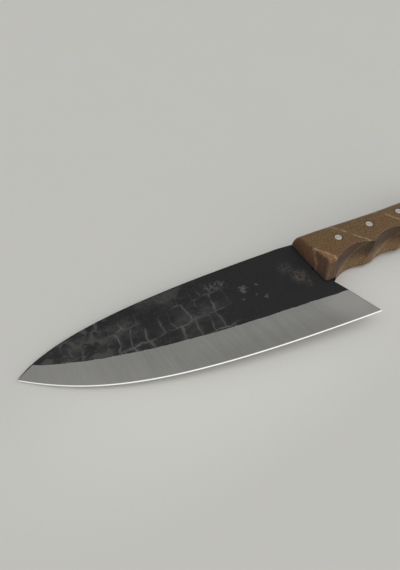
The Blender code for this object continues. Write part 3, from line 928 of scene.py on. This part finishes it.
def forgedFinish():
    finish = Finish("forged_steel", Specular_IOR_Level=0.35)
    x, y, z = finish.parts(finish.given("knifePlace", "Vector"))
    belowGrind, aboveEdge = finish.given("belowGrind"), finish.given("aboveEdge")
    side = finish.math("SIGN", z) * 40.0

    # forge scale: rows of cells with pale rims, like fish scales, haze and flaked patches
    wobble = finish.noise(finish.place((0.11, 0.11, 0.11)), 3.0) - 0.5
    wobbleToo = finish.noise(finish.place((0.13, 0.13, 0.13), shift=(7, 3, 5)), 3.0) - 0.5
    wide, tall = steel["cell"]
    cellX = (x + wobble * 7.0) / wide + side
    cellY = (y + steel["rowShift"] + wobbleToo * 6.0) / tall
    row = finish.math("FLOOR", cellY)
    cellX = cellX + row * 0.37
    column = finish.cellRims(finish.vector(cellX, row * 5.0 + 0.5), 0.60)
    inRow = finish.math("FRACT", cellY)
    toRow = finish.math("MINIMUM", inRow, 1.0 - inRow)
    rim = finish.math("MINIMUM", column * 0.8, toRow)
    patchy = finish.noise(finish.place((0.085, 0.085, 0.05), shift=(2, 9, 4)), 3.0)
    inCells = finish.rise(x, *steel["cellsStart"]) * finish.rise(x, *steel["cellsEnd"])
    inCells = inCells * finish.rise(y, *steel["cellsTop"])
    line = finish.rise(rim, 0.040, 0.004) * finish.rise(patchy, 0.32, 0.60) * inCells
    glow = finish.rise(rim, 0.20, 0.0) * finish.rise(patchy, 0.38, 0.64) * inCells
    cloud = finish.noise(finish.place((0.055, 0.085, 0.06), shift=(1, 2, 3)), 4.0, 0.62)
    tipward = finish.rise(x, -45, -75)
    haze = finish.rise(cloud, 0.42, 0.70) * (tipward * 0.80 + 0.06)
    blotch = finish.noise(finish.place((0.19, 0.19, 0.12), shift=(5, 1, 8)), 3.0, 0.6, 0.6)
    leopard = finish.rise(blotch, 0.49, 0.57) * finish.rise(x, -108, -124)
    speck = finish.noise(finish.place((0.75, 0.75, 0.5)), 3.0, 0.65)
    flaked = scattered(finish, x, y, steel["flakes"])
    flaked = finish.rise(speck + flaked * 0.22, 0.60, 0.72) * finish.math("MINIMUM", flaked, 1.0)
    stained = scattered(finish, x, y, steel["stains"])
    stained = stained * finish.rise(speck, 0.34, 0.64)
    faded = finish.larger(haze * finish.rise(speck, 0.30, 0.62, 0.35, 1.0), leopard * 0.85)
    film = finish.rise(speck, 0.48, 0.78) * finish.rise(x, -20, -60, 0.10, 0.30)
    colour = finish.blend(finish.larger(faded, film), steel["scale"], steel["scalePale"])
    colour = finish.blend(glow * 0.40, colour, steel["scalePale"])
    colour = finish.blend(line * 0.85, colour, steel["vein"])
    colour = finish.blend(flaked * 0.75, colour, steel["vein"])
    colour = finish.blend(finish.math("MINIMUM", stained, 1.0) * 0.8, colour, steel["stain"])

    # ground bevels: scratches from the grind line to the edge
    along = finish.given("alongEdge")
    fine = finish.noise(finish.vector(along * 2.6, aboveEdge * 0.05, side), 3.0, 0.7)
    broad = finish.noise(finish.vector(along * 0.22, aboveEdge * 0.03, side), 2.0)
    ground = finish.blend(finish.rise(fine, 0.3, 0.7), steel["ground"], steel["groundPale"])
    ground = finish.blend(finish.rise(broad, 0.35, 0.65) * 0.35, ground, steel["groundPale"])
    # painted sheen: the bevel paler in a patch by the heel; it also pales towards the point
    heel = bell(finish, x, y, steel["heelSheenPatch"])
    sheenAndPaling = finish.larger(heel * 0.5, finish.rise(x, *steel["tipPaling"]) * 0.45)
    ground = finish.blend(sheenAndPaling, ground, steel["groundSheenPale"])
    # painted shade: the bevel darker towards the edge along its middle, shading of its hollow
    belly = finish.rise(aboveEdge, 15.0, 2.0) * finish.rise(x, -105, -60) * finish.rise(x, 12, -8)
    ground = finish.tint(ground, belly * 0.8, (0.80, 0.80, 0.79))
    ragged = finish.noise(finish.place((0.8, 0.8, 0.8), shift=(4, 4, 4)), 3.0, 0.6) - 0.5
    onBevel = finish.rise(belowGrind + ragged * 0.55, -0.10, 0.12)
    onCutting = finish.rise(aboveEdge + (fine - 0.5) * 0.12, 0.56, 0.44)
    colour = finish.blend(onBevel, colour, ground)
    colour = finish.blend(onCutting, colour, steel["polished"])

    grain = finish.noise(finish.place((2.4, 2.4, 2.4)), 4.0, 0.6)
    rough = 0.50 + (speck - 0.5) * 0.25 + haze * 0.12
    bevelRough = 0.36 + (fine - 0.5) * 0.22 + (broad - 0.5) * 0.08
    roughness = rough * (1 - onBevel) + bevelRough * onBevel
    roughness = roughness * (1 - onCutting) + onCutting * 0.22
    metallic = finish.larger(onBevel, onCutting) * 0.9 + 0.1
    lumps = finish.noise(finish.place((0.35, 0.35, 0.35), shift=(3, 8, 2)), 3.0, 0.55)
    scaleHeight = (grain - 0.5) * 0.030 + (lumps - 0.5) * 0.12 + line * 0.010 - flaked * 0.02
    height = scaleHeight * (1 - onBevel) + (fine - 0.5) * 0.0022 * onBevel - onBevel * 0.015
    finish.bumped(height)
    return finish.finished(Base_Color=colour, Roughness=roughness, Metallic=metallic)


wood = {
    "base": (0.155, 0.094, 0.040), "olive": (0.148, 0.096, 0.035),
    "red": (0.168, 0.086, 0.036),
    "vein": (0.290, 0.200, 0.115), "pore": (0.045, 0.026, 0.015),
    "layers": (0.60, 0.36, -0.72),          # across the growth layers
    "veins": (-4.7, 10.1, 28.2, 39.5, 52.0, 63.0, 77.0),
}


def woodFinish():
    finish = Finish("oiled_hardwood", Specular_IOR_Level=0.38)
    x, y, z = finish.parts(finish.given("knifePlace", "Vector"))
    facingX, facingY, _ = finish.parts(finish.given("facing", "Vector"))
    a, b, c = wood["layers"]
    sway = finish.noise(finish.place((0.10, 0.10, 0.10)), 2.0) - 0.5
    layer = x * a + y * b + z * c + sway * 2.2
    flat = finish.noise(finish.vector(layer * 0.45, x * 0.03, z * 0.03), 3.0, 0.55)
    hue = finish.noise(finish.place((0.075, 0.10, 0.08), shift=(3, 1, 2)), 2.0)
    mottle = finish.noise(finish.place((0.95, 1.6, 1.6), (0, 0, -20)), 4.0, 0.72)
    fibre = finish.noise(finish.place((0.32, 2.6, 2.6), (0, -25, -14)), 3.0, 0.6)
    pore = finish.rise(finish.noise(finish.place((0.85, 3.4, 3.4), (0, -25, -14)), 2.0), 0.60, 0.70)
    colour = finish.blend(finish.rise(hue, 0.36, 0.62), wood["olive"], wood["red"])
    colour = finish.blend(finish.rise(flat, 0.30, 0.70) * 0.5, colour, wood["base"])
    colour = finish.tint(colour, finish.rise(mottle, 0.58, 0.38), (0.52, 0.48, 0.42))
    colour = finish.tint(colour, finish.rise(mottle, 0.48, 0.66), (1.62, 1.56, 1.42))
    colour = finish.tint(colour, finish.rise(fibre, 0.58, 0.36) * 0.9, (0.74, 0.71, 0.66))
    colour = finish.blend(pore * 0.45, colour, wood["pore"])
    light = finish.rise(layer, -4.0, -5.0)
    onFace = finish.rise(finish.size(facingX), 0.30, 0.10)
    colour = finish.tint(colour, light * onFace, (1.40, 1.34, 1.26))
    veins = 0.0
    ragged = (finish.noise(finish.place((0.7, 0.7, 0.7), shift=(9, 9, 9)), 2.0) - 0.5) * 0.9
    for spot in wood["veins"]:
        near = finish.rise(finish.size(layer + ragged - spot), 0.62, 0.16)
        veins = finish.larger(near, veins)
    broken = finish.rise(finish.noise(finish.place((0.22, 0.22, 0.22)), 2.0), 0.34, 0.52)
    colour = finish.blend(veins * broken * 0.85, colour, wood["vein"])

    # end grain soaks up oil and is darker, partly its own colour and partly painted shade where it
    # faces away from the light; painted shade on the wood by the blade; darker rings round the
    # rivets
    endGrainAndShade = finish.rise(finish.size(facingX), 0.30, 0.80)
    colour = finish.tint(colour, endGrainAndShade * 0.9, (0.60, 0.48, 0.44))
    colour = finish.tint(colour, endGrainAndShade * finish.rise(y, 0.0, -9.0), (0.70, 0.64, 0.60))
    nose = finish.rise(x, 12.0, 6.0) * finish.rise(y, -9.0, -13.5)
    colour = finish.tint(colour, nose * 0.8, (0.78, 0.74, 0.68))
    # painted shade where the wood meets the blade
    shadeByBlade = finish.rise(x, 2.6, 0.2)
    colour = finish.tint(colour, shadeByBlade * 0.75, (0.55, 0.46, 0.42))
    # the wood darker in a ring round each rivet
    for spot in rivetSpots:
        across = x - spot
        distance = finish.math("SQRT", across * across + y * y)
        ring = finish.rise(distance, rivetRadius + 1.1, rivetRadius + 0.1)
        colour = finish.tint(colour, ring * 0.55, (0.45, 0.40, 0.36))
    # painted shade on the groove walls under the face's arris, and painted bounce light from the
    # floor towards their bottom
    under = finish.rise(facingY, -0.40, -0.80)
    colour = finish.tint(colour, under * finish.rise(z, -5.0, 4.0), (0.40, 0.34, 0.31))
    bounceLit = under * finish.rise(z, 2.0, -6.0)
    colour = finish.tint(colour, bounceLit * 0.9, (1.18, 1.20, 1.25))
    roughness = 0.47 + (mottle - 0.5) * 0.25 + pore * 0.15 + endGrainAndShade * 0.1
    height = (fibre - 0.5) * 0.030 + (mottle - 0.5) * 0.035 - pore * 0.035
    finish.bumped(height)
    return finish.finished(Base_Color=colour, Roughness=roughness)


def rivetFinish(name, colour, shade):
    finish = Finish(name, Metallic=1.0)
    fromAxis = finish.given("fromAxis")
    rings = finish.noise(finish.vector(fromAxis * 9.0, 0.0), 2.0, 0.7)
    scuff = finish.noise(finish.place((3.0, 0.5, 2.0), (0, 0, 35)), 3.0, 0.7)
    tarnish = finish.noise(finish.place((0.8, 0.8, 0.8)), 2.0)
    base = finish.blend(finish.rise(tarnish, 0.40, 0.65) * 0.35, colour, shade)
    rimmed = finish.rise(fromAxis, rivetRadius - 0.30, rivetRadius)
    base = finish.tint(base, rimmed * 0.7, (0.50, 0.46, 0.42))
    roughness = 0.30 + (rings - 0.5) * 0.10 + (scuff - 0.5) * 0.20
    finish.bumped((rings - 0.5) * 0.006 + (scuff - 0.5) * 0.006)
    return finish.finished(Base_Color=base, Roughness=roughness)


def give(thing, material):
    thing.data.materials.clear()
    thing.data.materials.append(material)


give(forgedBlade, forgedFinish())
give(carvedHandle, woodFinish())
ringFinish = rivetFinish("rivet_ring", (0.82, 0.79, 0.74), (0.68, 0.64, 0.58))
coreFinish = rivetFinish("rivet_core", (0.74, 0.71, 0.66), (0.60, 0.56, 0.51))
for label, sleeve, core in rivets:
    give(sleeve, ringFinish)
    give(core, coreFinish)
    fitPiece(sleeve, "root", [f"{label}_rivet_sleeve"])
    fitPiece(core, "root", [f"{label}_rivet_post"])
fitPiece(forgedBlade, "root", ["blade"])
fitPiece(carvedHandle, "root", ["handle"])
print("finishes done")


# floor and light
studio = {
    # the paler floor colour and the patch round the knife make a painted pool of light
    "floor": (0.60, 0.598, 0.575), "floorLitPatch": (0.665, 0.665, 0.637), "floorSize": 6.0,
    "nearMiddle": (-0.02, -0.006), "nearReach": (0.18, 0.070),  # of the paler patch
    "nearTilt": 0.12, "mottle": 14.0,
    "bright": (1.20, 1.19, 1.17),            # the room's light overhead and in front
    "dim": (0.40, 0.41, 0.41),               # and behind
    "turnsDim": (0.19, 0.31),                # between these values of y + 0.25 x
    "leftShare": 0.80,                       # of the light, on the left
}


def makeFloor():
    size = studio["floorSize"] / 2
    mesh = bpy.data.meshes.new("floor")
    ground = cadLow[2]
    mesh.from_pydata([(-size, -size, ground), (size, -size, ground), (size, size, ground),
                      (-size, size, ground)], [], [(0, 1, 2, 3)])
    thing = bpy.data.objects.new("floor", mesh)
    bpy.context.scene.collection.objects.link(thing)
    finish = Finish("pale_floor", Specular_IOR_Level=0.2)
    place = Field(finish, finish.node("ShaderNodeTexCoord").outputs["Object"])
    tone = finish.noise(place, scale=studio["mottle"])
    x, y, _ = finish.parts(place)
    # painted light: the floor paler in a patch round the knife
    middle, reach = studio["nearMiddle"], studio["nearReach"]
    across = (y - x * studio["nearTilt"] - middle[1]) / reach[1]
    along = (x - middle[0]) / reach[0]
    spread = finish.math("SQRT", across * across + along * along)
    near = finish.rise(spread, 1.0, 0.35)
    colour = finish.blend(near, studio["floor"], studio["floorLitPatch"])
    colour = finish.tint(colour, tone, (0.985, 0.985, 0.985))
    give(thing, finish.finished(Base_Color=colour, Roughness=0.7))


def makeLight():
    # a room of soft light: bright overhead and in front, dimmer behind and to the left
    world = bpy.data.worlds.new("room")
    world.use_nodes = True
    room = Nodes(world.node_tree)
    direction = Field(room, room.node("ShaderNodeTexCoord").outputs["Generated"])
    x, y, _ = room.parts(direction)
    share = room.rise(y + x * 0.25, *reversed(studio["turnsDim"]))
    side = room.rise(x, -0.9, 0.1, studio["leftShare"], 1.0)
    colour = room.blend(share, studio["dim"], studio["bright"])
    room.feed(room.tree.nodes["Background"].inputs["Color"], colour)
    room.feed(room.tree.nodes["Background"].inputs["Strength"], side)
    bpy.context.scene.world = world


makeFloor()
makeLight()
bpy.context.scene.view_settings.view_transform = "Standard"
print("floor and light ready")
